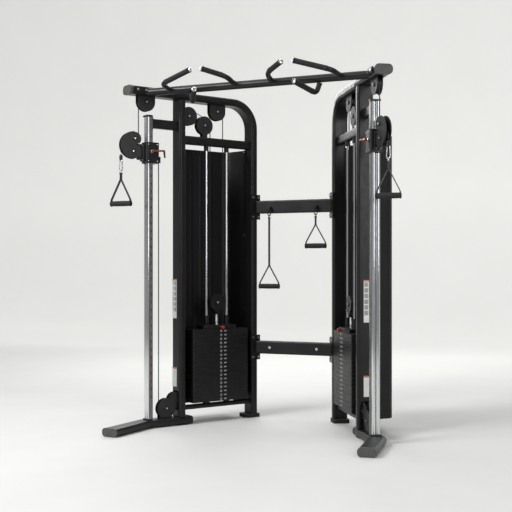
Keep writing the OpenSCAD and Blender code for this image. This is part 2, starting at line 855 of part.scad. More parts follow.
module stored(side, fork_z) {
  ring_top = hook_z + store_ring_w;
  color("#1b1b1c") translate([side * hook_x, hook_ring_y, 0]) {
    snap_ring(ring_top, store_ring_l, store_ring_w, 3);
    hanging_handle(ring_top - store_ring_l + 12, fork_z, fork_z - store_drop);
  }
}

module long_storage_handle() { stored(left, 1028); }
module short_storage_handle() { stored(right, 1298); }

module left_carriage() { carriage(left); }
module left_pull_pin() { pull_pin(left); }
module left_swivel_head() { swivel_head(left); }
module left_head_wheel_upper() { wheel_on_head(left, upper_axle); }
module left_head_wheel_lower() { wheel_on_head(left, lower_axle); }
module left_arm_wheel() { wheel_on_tower(left, arm_axle, run_r); }
module left_top_wheel_front() { wheel_on_tower(left, front_axle, run_r); }
module left_top_wheel_middle() { wheel_on_tower(left, middle_axle, run_r); }
module left_top_wheel_rear() { wheel_on_tower(left, rear_axle, run_r); }
module left_base_wheel_front() { wheel_on_tower(left, base_front_axle, run_r); }
module left_base_wheel_rear() { wheel_on_tower(left, base_rear_axle, small_run_r); }
module left_stack_head() { stack_head(left); }
module left_float_wheel() { wheel_on_tower(left, float_axle, run_r); }
module left_selector_pin() { selector_pin(left); }
module left_handle_hook() { handle_hook(left); }
module left_strap_handle() { strap_handle(left); }
module left_upper_run() { upper_run(left); }
module left_lower_run() { lower_run(left); }
module left_stack_runs() { stack_runs(left); }

module right_carriage() { carriage(right); }
module right_pull_pin() { pull_pin(right); }
module right_swivel_head() { swivel_head(right); }
module right_head_wheel_upper() { wheel_on_head(right, upper_axle); }
module right_head_wheel_lower() { wheel_on_head(right, lower_axle); }
module right_arm_wheel() { wheel_on_tower(right, arm_axle, run_r); }
module right_top_wheel_front() { wheel_on_tower(right, front_axle, run_r); }
module right_top_wheel_middle() { wheel_on_tower(right, middle_axle, run_r); }
module right_top_wheel_rear() { wheel_on_tower(right, rear_axle, run_r); }
module right_base_wheel_front() { wheel_on_tower(right, base_front_axle, run_r); }
module right_base_wheel_rear() { wheel_on_tower(right, base_rear_axle, small_run_r); }
module right_stack_head() { stack_head(right); }
module right_float_wheel() { wheel_on_tower(right, float_axle, run_r); }
module right_selector_pin() { selector_pin(right); }
module right_handle_hook() { handle_hook(right); }
module right_strap_handle() { strap_handle(right); }
module right_upper_run() { upper_run(right); }
module right_lower_run() { lower_run(right); }
module right_stack_runs() { stack_runs(right); }

front_uprights();
rear_uprights();
top_arms();
foot_rails();
tower_braces();
guide_tubes();
height_rails();
side_shrouds();
guide_rods();
weight_plates();
pulley_covers();
pull_up_bar();
bar_grips();
grip_caps();
crossbeams();
storage_hooks();
frame_bolts();
end_caps();
rubber_pads();
fixed_cables();
left_carriage();
left_pull_pin();
left_swivel_head();
left_head_wheel_upper();
left_head_wheel_lower();
left_arm_wheel();
left_top_wheel_front();
left_top_wheel_middle();
left_top_wheel_rear();
left_base_wheel_front();
left_base_wheel_rear();
left_stack_head();
left_float_wheel();
left_selector_pin();
left_handle_hook();
left_strap_handle();
left_upper_run();
left_lower_run();
left_stack_runs();
right_carriage();
right_pull_pin();
right_swivel_head();
right_head_wheel_upper();
right_head_wheel_lower();
right_arm_wheel();
right_top_wheel_front();
right_top_wheel_middle();
right_top_wheel_rear();
right_base_wheel_front();
right_base_wheel_rear();
right_stack_head();
right_float_wheel();
right_selector_pin();
right_handle_hook();
right_strap_handle();
right_upper_run();
right_lower_run();
right_stack_runs();
long_storage_handle();
short_storage_handle();
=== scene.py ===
"""Studio scene of a dual adjustable cable machine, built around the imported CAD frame.

Metres, Z up. Each tower has its own frame: u runs forwards along the tower from its
front upright, v points to the outer side. Places come from the record's joints and
from the boxes of the CAD nodes.
"""
import json
import math

import bmesh
import bpy
from mathutils import Matrix, Vector


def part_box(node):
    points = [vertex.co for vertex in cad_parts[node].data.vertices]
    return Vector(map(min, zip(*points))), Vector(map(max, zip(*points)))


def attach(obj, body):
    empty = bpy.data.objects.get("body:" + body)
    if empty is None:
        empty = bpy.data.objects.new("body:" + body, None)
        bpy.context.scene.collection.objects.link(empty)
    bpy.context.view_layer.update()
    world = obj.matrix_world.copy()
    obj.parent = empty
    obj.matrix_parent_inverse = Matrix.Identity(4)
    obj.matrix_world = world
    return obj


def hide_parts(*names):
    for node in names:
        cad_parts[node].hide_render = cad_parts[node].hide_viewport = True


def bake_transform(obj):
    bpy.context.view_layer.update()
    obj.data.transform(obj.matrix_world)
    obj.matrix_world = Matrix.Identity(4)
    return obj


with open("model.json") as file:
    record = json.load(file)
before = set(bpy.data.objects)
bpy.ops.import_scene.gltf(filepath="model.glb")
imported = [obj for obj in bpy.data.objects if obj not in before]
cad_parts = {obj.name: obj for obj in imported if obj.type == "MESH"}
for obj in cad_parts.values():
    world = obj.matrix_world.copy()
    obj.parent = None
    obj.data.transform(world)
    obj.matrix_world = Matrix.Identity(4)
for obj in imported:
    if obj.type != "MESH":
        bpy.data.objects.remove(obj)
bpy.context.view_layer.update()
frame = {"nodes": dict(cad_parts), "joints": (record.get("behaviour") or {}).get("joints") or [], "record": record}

SCENE = bpy.context.scene
NODES = frame["nodes"]
JOINTS = {j["name"]: j for j in frame["joints"]}
SIDES = ("left", "right")
UP = Vector((0, 0, 1))


# ---------------------------------------------------------------- places
ARM_AXLE_U = 0.248  # from the front upright to the axle under the arm
RAIL_U = 0.226
COLUMN_U = 0.238
COLUMN_V = -0.005
STACK_U = -0.288


def joint_at(name):
    return Vector(JOINTS[name]["pos_m"])


def flat(vector):
    return Vector((vector.x, vector.y, 0))


def frame_matrix(origin, u, v):
    """A matrix from (u, v, z) to the row frame."""
    return Matrix.Translation(flat(origin)) @ Matrix((u, v, UP)).transposed().to_4x4()


def tower_matrix(side):
    arm = joint_at(f"{side}_arm_wheel_spin")
    along = flat(arm - joint_at(f"{side}_top_wheel_rear_spin")).normalized()
    outer = Vector(JOINTS[f"{side}_arm_wheel_spin"]["axis"])
    return frame_matrix(arm - along * ARM_AXLE_U, along, outer)


def head_matrix(side):
    pivot = joint_at(f"{side}_head_swivel")
    along = flat(joint_at(f"{side}_handle_swing") - pivot).normalized()
    outer = Vector(JOINTS[f"{side}_head_wheel_upper_spin"]["axis"])
    return frame_matrix(pivot, along, outer)


TOWER = {side: tower_matrix(side) for side in SIDES}
HEAD = {side: head_matrix(side) for side in SIDES}


# ---------------------------------------------------------------- materials
def link(tree, source, target):
    tree.links.new(source, target)


def noise(tree, place, scale, detail=4.0, stretch=(1, 1, 1)):
    """A noise texture in object space, stretched along the axes."""
    mapping = tree.nodes.new("ShaderNodeMapping")
    mapping.inputs["Scale"].default_value = stretch
    link(tree, place.outputs["Object"], mapping.inputs["Vector"])
    texture = tree.nodes.new("ShaderNodeTexNoise")
    texture.inputs["Scale"].default_value = scale
    texture.inputs["Detail"].default_value = detail
    link(tree, mapping.outputs["Vector"], texture.inputs["Vector"])
    return texture.outputs["Fac"]


def ranged(tree, value, low, high, source=(0.3, 0.7)):
    node = tree.nodes.new("ShaderNodeMapRange")
    node.inputs["From Min"].default_value, node.inputs["From Max"].default_value = source
    node.inputs["To Min"].default_value, node.inputs["To Max"].default_value = low, high
    link(tree, value, node.inputs["Value"])
    return node.outputs["Result"]


def mixed(tree, factor, first, second):
    """A colour between two colours or colour sockets."""
    node = tree.nodes.new("ShaderNodeMix")
    node.data_type = "RGBA"
    link(tree, factor, node.inputs["Factor"])
    for socket, colour in ((node.inputs["A"], first), (node.inputs["B"], second)):
        if isinstance(colour, tuple):
            socket.default_value = (*colour, 1)
        else:
            link(tree, colour, socket)
    return node.outputs["Result"]


def bumped(tree, height, strength, distance):
    node = tree.nodes.new("ShaderNodeBump")
    node.inputs["Strength"].default_value = strength
    node.inputs["Distance"].default_value = distance
    link(tree, height, node.inputs["Height"])
    return node.outputs["Normal"]


def surface(name, dark, light, rough, metallic=0.0, patch=14.0, grain=900.0, grain_depth=0.00004,
            stretch=(1, 1, 1), dust=0.0, worn=None, **sockets):
    """A finish with colour variation in patches, uneven gloss, fine grain, dust on top and worn edges."""
    material = bpy.data.materials.new(name)
    material.use_nodes = True
    tree = material.node_tree
    shader = tree.nodes["Principled BSDF"]
    place = tree.nodes.new("ShaderNodeTexCoord")
    patches = noise(tree, place, patch, 5.0, stretch)
    colour = mixed(tree, ranged(tree, patches, 0, 1), dark, light)
    geometry = tree.nodes.new("ShaderNodeNewGeometry")
    if worn:
        soft = tree.nodes.new("ShaderNodeBevel")
        soft.samples = 4
        soft.inputs["Radius"].default_value = 0.0016
        turn = tree.nodes.new("ShaderNodeVectorMath")
        turn.operation = "DOT_PRODUCT"
        link(tree, soft.outputs["Normal"], turn.inputs[0])
        link(tree, geometry.outputs["True Normal"], turn.inputs[1])
        edge = ranged(tree, turn.outputs["Value"], 0.55, 0.0, (0.80, 0.995))
        colour = mixed(tree, edge, colour, worn)
    if dust:
        split = tree.nodes.new("ShaderNodeSeparateXYZ")
        link(tree, geometry.outputs["Normal"], split.inputs["Vector"])
        top = ranged(tree, split.outputs["Z"], 0.0, dust, (0.6, 1.0))
        colour = mixed(tree, top, colour, (0.35, 0.35, 0.34))
    link(tree, colour, shader.inputs["Base Color"])
    gloss = noise(tree, place, patch * 3.1, 6.0, stretch)
    link(tree, ranged(tree, gloss, rough[0], rough[1]), shader.inputs["Roughness"])
    fine = noise(tree, place, grain, 2.0, stretch)
    link(tree, bumped(tree, fine, 0.55, grain_depth), shader.inputs["Normal"])
    shader.inputs["Metallic"].default_value = metallic
    if not metallic:
        shader.inputs["Specular IOR Level"].default_value = 0.32
    for socket, value in sockets.items():
        shader.inputs[socket.replace("_", " ")].default_value = value
    return material


def grey(level):
    return (level, level, level * 1.02)


MATERIALS = {
    "frame_paint": surface("frame_paint", grey(0.0055), grey(0.0095), (0.30, 0.42), patch=9, grain=700,
                           grain_depth=0.00006, dust=0.03, worn=grey(0.05)),
    "chrome_tube": surface("chrome_tube", (0.62, 0.63, 0.64), (0.74, 0.75, 0.76), (0.06, 0.16), 1.0,
                           patch=30, grain=1600, grain_depth=0.00001, stretch=(1, 1, 0.05)),
    "zinc_rail": surface("zinc_rail", (0.15, 0.15, 0.147), (0.24, 0.24, 0.235), (0.30, 0.44), 1.0,
                         patch=60, grain=1200, grain_depth=0.00002, stretch=(1, 1, 0.1)),
    "shroud_sheet": surface("shroud_sheet", grey(0.004), grey(0.007), (0.48, 0.62), patch=5, grain=1300,
                            grain_depth=0.00008, dust=0.02),
    "plate_iron": surface("plate_iron", grey(0.005), grey(0.009), (0.34, 0.50), patch=22, grain=900,
                          grain_depth=0.00008, dust=0.04, worn=grey(0.05)),
    "cover_plastic": surface("cover_plastic", grey(0.015), grey(0.021), (0.42, 0.56), patch=26, grain=1800,
                             grain_depth=0.00009, dust=0.03, worn=grey(0.06)),
    "wheel_nylon": surface("wheel_nylon", grey(0.010), grey(0.016), (0.32, 0.45), patch=40, grain=1500,
                           grain_depth=0.00004),
    "grip_rubber": surface("grip_rubber", grey(0.008), grey(0.013), (0.55, 0.72), patch=60, grain=1300,
                           grain_depth=0.00012, dust=0.03),
    "cap_chrome": surface("cap_chrome", (0.66, 0.67, 0.68), (0.78, 0.79, 0.80), (0.08, 0.18), 1.0,
                          patch=80, grain=1500, grain_depth=0.00001),
    "cap_grey": surface("cap_grey", (0.062, 0.063, 0.061), (0.082, 0.083, 0.080), (0.45, 0.60), patch=30,
                        grain=1500, grain_depth=0.0001, dust=0.05),
    "pad_rubber": surface("pad_rubber", grey(0.010), grey(0.016), (0.62, 0.80), patch=40, grain=800,
                          grain_depth=0.00015, dust=0.06),
    "bolt_steel": surface("bolt_steel", (0.52, 0.53, 0.54), (0.66, 0.67, 0.68), (0.18, 0.34), 1.0,
                          patch=160, grain=2400, grain_depth=0.00002),
    "cable_coat": surface("cable_coat", grey(0.010), grey(0.018), (0.30, 0.42), patch=60, grain=1100,
                          grain_depth=0.00005),
    "carriage_black": surface("carriage_black", grey(0.006), grey(0.010), (0.30, 0.44), patch=30, grain=900,
                              grain_depth=0.00005, dust=0.03, worn=grey(0.07)),
    "pull_red": surface("pull_red", (0.15, 0.028, 0.011), (0.21, 0.042, 0.016), (0.22, 0.34), patch=60,
                        grain=1500, grain_depth=0.00003, Coat_Weight=0.4),
    "selector_red": surface("selector_red", (0.26, 0.014, 0.010), (0.34, 0.022, 0.015), (0.22, 0.32),
                            patch=60,
                            grain=1500, grain_depth=0.00003, Coat_Weight=0.4),
    "hook_steel": surface("hook_steel", (0.50, 0.51, 0.52), (0.64, 0.65, 0.66), (0.14, 0.26), 1.0,
                          patch=120, grain=2000, grain_depth=0.00002),
}


def webbing():
    """Woven nylon: ribs across the strap and a fine weave along it, from the piece's own UV map in metres."""
    material = bpy.data.materials.new("strap_nylon")
    material.use_nodes = True
    tree = material.node_tree
    shader = tree.nodes["Principled BSDF"]
    place = tree.nodes.new("ShaderNodeTexCoord")
    waves = []
    for axis, scale in (("X", 1 / 0.0022), ("Y", 1 / 0.0016)):
        wave = tree.nodes.new("ShaderNodeTexWave")
        wave.bands_direction = axis
        wave.inputs["Scale"].default_value = scale / 6.2832 * 2
        wave.inputs["Distortion"].default_value = 0.6
        link(tree, place.outputs["UV"], wave.inputs["Vector"])
        waves.append(wave.outputs["Fac"])
    weave = tree.nodes.new("ShaderNodeMath")
    weave.operation = "MULTIPLY"
    link(tree, waves[0], weave.inputs[0])
    link(tree, waves[1], weave.inputs[1])
    colour = mixed(tree, weave.outputs["Value"], grey(0.007), grey(0.022))
    link(tree, colour, shader.inputs["Base Color"])
    patches = noise(tree, place, 90, 4.0)
    link(tree, ranged(tree, patches, 0.62, 0.82), shader.inputs["Roughness"])
    link(tree, bumped(tree, weave.outputs["Value"], 0.8, 0.0005), shader.inputs["Normal"])
    shader.inputs["Sheen Weight"].default_value = 0.25
    shader.inputs["Sheen Roughness"].default_value = 0.5
    return material


MATERIALS["strap_nylon"] = webbing()
MATERIALS["thread"] = surface("thread", grey(0.03), grey(0.06), (0.5, 0.7), patch=300, grain=3000,
                              grain_depth=0.00005)
MATERIALS["placard_white"] = surface("placard_white", (0.62, 0.62, 0.60), (0.70, 0.70, 0.68), (0.30, 0.40),
                                     patch=30, grain=600, grain_depth=0.00002)
MATERIALS["placard_orange"] = surface("placard_orange", (0.42, 0.10, 0.03), (0.50, 0.13, 0.04), (0.30, 0.40),
                                      patch=30, grain=600, grain_depth=0.00002)
MATERIALS["placard_ink"] = surface("placard_ink", grey(0.24), grey(0.32), (0.35, 0.45), patch=60, grain=600,
                                   grain_depth=0.00002)
MATERIALS["mark_silver"] = surface("mark_silver", (0.26, 0.26, 0.255), (0.36, 0.36, 0.35), (0.35, 0.50),
                                   patch=90, grain=1200, grain_depth=0.00002)


# ---------------------------------------------------------------- mesh helpers
def finish_piece(name, bm, body, finish, replaced=(), smooth=38):
    """Turns a bmesh into a piece that rides on its body, or is left free when body is None."""
    bmesh.ops.recalc_face_normals(bm, faces=bm.faces)
    mesh = bpy.data.meshes.new(name)
    bm.to_mesh(mesh)
    bm.free()
    mesh.materials.append(MATERIALS[finish])
    for polygon in mesh.polygons:
        polygon.use_smooth = True
    mesh.set_sharp_from_angle(angle=math.radians(smooth))
    piece = bpy.data.objects.new(name, mesh)
    SCENE.collection.objects.link(piece)
    if body:
        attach(piece, body)
    if replaced:
        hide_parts(*replaced)
    return piece


def rounded_path(points, radius, steps=7):
    """A line through points with its corners rounded."""
    points = [Vector(p) for p in points]
    path = [points[0]]
    for before, corner, after in zip(points, points[1:], points[2:]):
        cut = min(radius, (corner - before).length * 0.48, (after - corner).length * 0.48)
        start = corner + (before - corner).normalized() * cut
        end = corner + (after - corner).normalized() * cut
        for i in range(steps + 1):
            t = i / steps
            path.append(start.lerp(corner, t).lerp(corner.lerp(end, t), t))
    path.append(points[-1])
    return path


def arc(centre, radius, start, sweep, across, up, steps=24):
    """Points on a circle in the plane of two directions, angles in degrees."""
    return [centre + (across * math.cos(a) + up * math.sin(a)) * radius
            for a in (math.radians(start + sweep * i / steps) for i in range(steps + 1))]


def circle_outline(radius, sides=14):
    return [(radius * math.cos(2 * math.pi * i / sides), radius * math.sin(2 * math.pi * i / sides))
            for i in range(sides)]


def band_outline(thick, wide, edge=0.3):
    """A flat strap's section with rounded edges, its width along the second axis."""
    a, b = thick / 2, wide / 2
    e = thick * edge
    return [(-a, -b + e), (-a + e, -b), (a - e, -b), (a, -b + e), (a, b - e), (a - e, b), (-a + e, b),
            (-a, b - e)]


def sweep(bm, path, outline, closed=False, up=None, scale=None):
    """Sweeps an outline along a path; up is the direction that the outline's second axis keeps near."""
    path = [Vector(p) for p in path]
    count = len(path)
    uv = bm.loops.layers.uv.verify()
    tangents = []
    for i in range(count):
        before = path[i - 1] if i or closed else path[i]
        after = path[(i + 1) % count] if i < count - 1 or closed else path[i]
        tangents.append((after - before).normalized())
    second = Vector(up) if up else tangents[0].orthogonal()
    rings = []
    lengths = [0.0]
    for i in range(count):
        if i:
            if not up:
                second = tangents[i - 1].rotation_difference(tangents[i]) @ second
            lengths.append(lengths[-1] + (path[i] - path[i - 1]).length)
        second = (second - tangents[i] * second.dot(tangents[i])).normalized()
        first = second.cross(tangents[i])
        k = scale[i] if scale else 1.0
        rings.append([bm.verts.new(path[i] + first * x * k + second * y * k) for x, y in outline])
    around = [0.0]
    sides = len(outline)
    for j in range(sides):
        a, b = outline[j], outline[(j + 1) % sides]
        around.append(around[-1] + math.dist(a, b))
    last = count if closed else count - 1
    for i in range(last):
        for j in range(sides):
            k = (j + 1) % sides
            face = bm.faces.new((rings[i][j], rings[i][k], rings[(i + 1) % count][k],
                                 rings[(i + 1) % count][j]))
            end = lengths[i + 1] if i + 1 < count else lengths[i] + (path[0] - path[i]).length
            for loop, place in zip(face.loops, ((around[j], lengths[i]), (around[j + 1], lengths[i]),
                                                (around[j + 1], end), (around[j], end))):
                loop[uv].uv = place
    if not closed:
        bm.faces.new(rings[0][::-1])
        bm.faces.new(rings[-1])


def lathe(bm, profile, base, axis, steps=36):
    """Turns a closed profile of (radius, distance along the axis) about an axis."""
    base, axis = Vector(base), Vector(axis).normalized()
    side = axis.orthogonal().normalized()
    other = axis.cross(side)
    rings = []
    for r, h in profile:
        if r < 1e-6:
            rings.append([bm.verts.new(base + axis * h)])
        else:
            rings.append([bm.verts.new(base + axis * h + (side * math.cos(a) + other * math.sin(a)) * r)
                          for a in (2 * math.pi * i / steps for i in range(steps))])
    for low, high in zip(rings, rings[1:]):
        for i in range(steps):
            k = (i + 1) % steps
            if len(low) == 1 and len(high) == 1:
                continue
            if len(low) == 1:
                bm.faces.new((low[0], high[k], high[i]))
            elif len(high) == 1:
                bm.faces.new((low[i], low[k], high[0]))
            else:
                bm.faces.new((low[i], low[k], high[k], high[i]))
    for ring in (rings[0], rings[-1]):
        if len(ring) > 1:
            bm.faces.new(ring)


def block(bm, matrix, low, high, bevel=0.0, segments=2):
    """A bevelled box between two corners in a local frame."""
    low, high = Vector(low), Vector(high)
    made = bmesh.ops.create_cube(bm, size=1.0)["verts"]
    size, middle = high - low, (low + high) / 2
    for v in made:
        v.co = Vector(v.co[i] * size[i] + middle[i] for i in range(3))
    if bevel:
        edges = {e for v in made for e in v.link_edges}
        made = [g for g in bmesh.ops.bevel(bm, geom=list(edges), offset=bevel, segments=segments,
                                           profile=0.6, affect="EDGES")["verts"]]
    for v in set(made):
        v.co = matrix @ v.co


def socket_screw(bm, base, axis, radius, height):
    """A domed screw with a round recess in its head."""
    profile = [(0, 0), (radius, 0), (radius, height * 0.45), (radius * 0.86, height * 0.82),
               (radius * 0.55, height), (radius * 0.42, height), (radius * 0.38, height * 0.35),
               (0, height * 0.35)]
    lathe(bm, profile, base, axis, 24)


def merged(name, body, finish, build, replaced=(), smooth=38):
    """A piece whose bmesh is filled by a function."""
    bm = bmesh.new()
    build(bm)
    return finish_piece(name, bm, body, finish, replaced, smooth)


# ---------------------------------------------------------------- finishes of the CAD nodes
BEVELS = {  # width of the softened edge, in metres
    "front_uprights": 0.0006, "rear_uprights": 0.0006, "top_arms": 0.0008, "foot_rails": 0.0008,
    "tower_braces": 0.001, "height_rails": 0.0004, "side_shrouds": 0.0005, "weight_plates": 0.0012,
    "pulley_covers": 0.0009, "pull_up_bar": 0.0008, "crossbeams": 0.0012, "storage_hooks": 0.001,
    "rubber_pads": 0.002, "left_stack_head": 0.001, "right_stack_head": 0.001,
    "left_swivel_head": 0.0009, "right_swivel_head": 0.0009, "left_carriage": 0.0012,
    "right_carriage": 0.0012, "end_caps": 0.006,
}


def soften(node, width):
    """Bevels a node's sharp edges and shades its flats flat, all by modifiers."""
    if node.data.has_custom_normals:
        node.data.attributes.remove(node.data.attributes["custom_normal"])
    for polygon in node.data.polygons:
        polygon.use_smooth = True
    weld = node.modifiers.new("weld", "WELD")
    weld.merge_threshold = 0.00002
    bevel = node.modifiers.new("bevel", "BEVEL")
    bevel.width = width
    bevel.segments = 2
    bevel.limit_method = "ANGLE"
    bevel.angle_limit = math.radians(40)
    bevel.use_clamp_overlap = True
    weighted = node.modifiers.new("weighted", "WEIGHTED_NORMAL")
    weighted.weight = 80


def finish_of(name):
    for row in frame["record"]["subparts"]:
        if row["node"] == name:
            return row["material_slot"]
    return "frame_paint"


for node_name, node in NODES.items():
    node.data.materials.clear()
    node.data.materials.append(MATERIALS[finish_of(node_name)])
    if node_name in BEVELS:
        soften(node, BEVELS[node_name])


# ---------------------------------------------------------------- cables
CABLE = 0.0032


def cable(name, bodies, points, replaced=(), bends=0.02):
    """A coated cable along a line of points; between two bodies it is left unattached, with its transform baked
    into the mesh.
    """
    path = rounded_path(points, bends) if len(points) > 2 else points
    dense = [path[0]]
    for a, b in zip(path, path[1:]):
        steps = max(1, round((b - a).length / 0.03))
        dense += [a.lerp(b, i / steps) for i in range(1, steps + 1)]
    bm = bmesh.new()
    sweep(bm, dense, circle_outline(CABLE, 12))
    if isinstance(bodies, str):
        return finish_piece(name, bm, bodies, "cable_coat", replaced)
    piece = finish_piece(name, bm, None, "cable_coat", replaced)
    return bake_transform(piece)


RUN = 0.050  # radius at which the cable runs on a tower pulley
HEAD_RUN = 0.029
PLATE_TOP = 0.613


def build_cables(side):
    tower, head = TOWER[side], HEAD[side]
    arm_z = joint_at(f"{side}_arm_wheel_spin").z
    upper = joint_at(f"{side}_head_wheel_upper_spin").z
    base_z = joint_at(f"{side}_base_wheel_front_spin").z
    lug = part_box(f"{side}_carriage")[0].z + 0.008
    lower_u = ARM_AXLE_U - 0.095
    swivel_u = ARM_AXLE_U + RUN
    cable(f"{side}_upper_cable", ("root", f"{side}_carriage"),
          [tower @ Vector((swivel_u, 0, arm_z)), tower @ Vector((swivel_u, 0, upper))], [f"{side}_upper_run"])
    cable(f"{side}_lower_cable", ("root", f"{side}_carriage"),
          [tower @ Vector((lower_u, 0, base_z)), tower @ Vector((lower_u, 0, lug))], [f"{side}_lower_run"])
    rear_z = joint_at(f"{side}_top_wheel_rear_spin").z
    middle_z = joint_at(f"{side}_top_wheel_middle_spin").z
    float_z = joint_at(f"{side}_float_wheel_spin").z
    cable(f"{side}_stack_cable_rear", ("root", f"{side}_stack_head"),
          [tower @ Vector((STACK_U - RUN, 0, rear_z)), tower @ Vector((STACK_U - RUN, 0, float_z))],
          [f"{side}_stack_runs"])
    cable(f"{side}_stack_cable_front", ("root", f"{side}_stack_head"),
          [tower @ Vector((STACK_U + RUN, 0, middle_z)), tower @ Vector((STACK_U + RUN, 0, float_z))])
    centre = Vector((STACK_U, 0, float_z))
    cable(f"{side}_stack_cable_turn", f"{side}_stack_head",
          [tower @ p for p in arc(centre, RUN, 180, 180, Vector((1, 0, 0)), UP)], bends=0.0001)
    ball = Vector((0.116, 0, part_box(f"{side}_handle_hook")[1].z))
    wheel = Vector((HEAD_RUN, 0, upper))
    turn = arc(wheel, HEAD_RUN, 180, 62, Vector((1, 0, 0)), UP, 10)
    exit_point = Vector((ball.x, 0, ball.z + 0.022))
    inner = turn + [Vector((0.070, 0, upper - 0.048)), Vector((ball.x - 0.012, 0, ball.z + 0.034)),
                    exit_point]
    cable(f"{side}_head_cable", f"{side}_swivel_head", [head @ p for p in inner], bends=0.012)
    cable(f"{side}_handle_cable", (f"{side}_swivel_head", f"{side}_handle_hook"),
          [head @ exit_point, head @ (ball - UP * 0.004)])


for side in SIDES:
    build_cables(side)


# ---------------------------------------------------------------- handles
STRAP_WIDE = 0.025
STRAP_THICK = 0.0022
GRIP_HALF = 0.072
SNAP_LENGTH = 0.078
STORED_SNAP_LENGTH = 0.064
FORK_Z = 1.566  # where a cable handle's strap parts
STORED_FORK_RISE = 0.135  # from a spare handle's grip to its fork


def ring_path(centre, across, up, half_wide, length, pear=1.0, steps=16):
    """A closed loop hanging from its top, wider at the bottom than at the top when pear is under 1."""
    small = half_wide * pear
    top, bottom = centre + up * (length / 2 - small), centre - up * (length / 2 - half_wide)
    return arc(top, small, 0, 180, across, up, steps) + arc(bottom, half_wide, 180, 180, across, up, steps)


def build_grip(name, body, centre):
    """A ribbed rubber grip with a flange at each end."""
    x = Vector((1, 0, 0))
    half = GRIP_HALF - 0.009

    def shape(bm):
        profile = [(0.0, -half - 0.0055), (0.0095, -half - 0.0055), (0.0105, -half - 0.0088),
                   (0.0168, -half - 0.0088),
                   (0.0178, -half - 0.0070), (0.0178, -half - 0.0015), (0.0166, -half)]
        ribs = 15
        for i in range(ribs * 8 + 1):
            t = i / (ribs * 8)
            wave = 0.0004 * math.cos(2 * math.pi * t * ribs)
            crown = 0.0012 * (1 - (2 * t - 1) ** 2)
            profile.append((0.0158 + wave + crown, -half + 0.0006 + t * (2 * half - 0.0012)))
        profile += [(r, -h) for r, h in profile[6::-1]]
        lathe(bm, profile, centre, x, 40)

    merged(name, body, "grip_rubber", shape, smooth=50)


def build_strap(name, body, centre, top, fork, grip_z, replaced):
    """Webbing sewn to a loop at its top, forked to both ends of the grip."""
    x = Vector((1, 0, 0))
    reach = GRIP_HALF - 0.0045
    loop_r = 0.0046
    at = Vector((centre.x, centre.y, 0))

    def point(dx, z):
        return at + Vector((dx, 0, z))

    right = [point(reach - 0.010, grip_z), point(reach - 0.001, grip_z + 0.003),
             point(reach + 0.001, grip_z + 0.022),
             point(0.004, fork), point(0.0013, fork + 0.008), point(0.0013, top - 0.014)]
    over = arc(point(0, top - loop_r), loop_r, 0, 180, x, UP, 12)
    left = [Vector((2 * centre.x - p.x, p.y, p.z)) for p in reversed(right)]
    path = rounded_path(right, 0.010, 6) + over + rounded_path(left, 0.010, 6)

    def shape(bm):
        sweep(bm, path, band_outline(STRAP_THICK, STRAP_WIDE), up=(0, 1, 0))

    merged(name, body, "strap_nylon", shape, replaced, smooth=60)
    stitched = top - fork - 0.034

    def stitches(bm):
        for face in (-1, 1):
            for row in (-1, 1):
                count = max(4, int(stitched / 0.0042))
                for i in range(count):
                    z = fork + 0.014 + i * stitched / count
                    block(bm, Matrix.Translation(point(face * (STRAP_THICK + 0.0016), z)),
                          (-0.0004, row * 0.0095 - 0.0004, -0.0012), (0.0004, row * 0.0095 + 0.0004, 0.0012),
                          0.0002, 1)
            for z in (fork + 0.012, top - 0.020):
                for i in range(-4, 5):
                    block(bm, Matrix.Translation(point(face * (STRAP_THICK + 0.0016), z)),
                          (-0.0004, i * 0.0024 - 0.0009, -0.0004), (0.0004, i * 0.0024 + 0.0009, 0.0004),
                          0.0002, 1)

    merged(f"{name}_stitches", body, "thread", stitches)


def build_ring(name, body, centre, radius, wire, finish):
    y = Vector((0, 1, 0))

    def shape(bm):
        sweep(bm, arc(centre, radius, 0, 360, y, UP, 36)[:-1], circle_outline(wire, 12), closed=True,
              up=(1, 0, 0))

    return merged(name, body, finish, shape)


def build_snap(name, body, centre, length, half_wide, wire, finish, replaced=()):
    """A pear-shaped snap hook with a sprung gate on one side."""
    x = Vector((1, 0, 0))

    def shape(bm):
        loop = ring_path(centre, x, UP, half_wide, length, 0.62)
        sweep(bm, loop[:-1], circle_outline(wire, 14), closed=True, up=(0, 1, 0))
        low = centre + x * (half_wide * 0.985) - UP * (length / 2 - half_wide * 1.05)
        high = centre + x * (half_wide * 0.70) + UP * (length / 2 - half_wide * 1.1)
        sweep(bm, [low.lerp(high, t) for t in (0, 0.06, 0.12, 0.5, 0.88, 0.94, 1)], circle_outline(wire, 14),
              scale=[0.9, 1.28, 1.32, 1.30, 1.32, 1.28, 0.9])

    return merged(name, body, finish, shape, replaced)


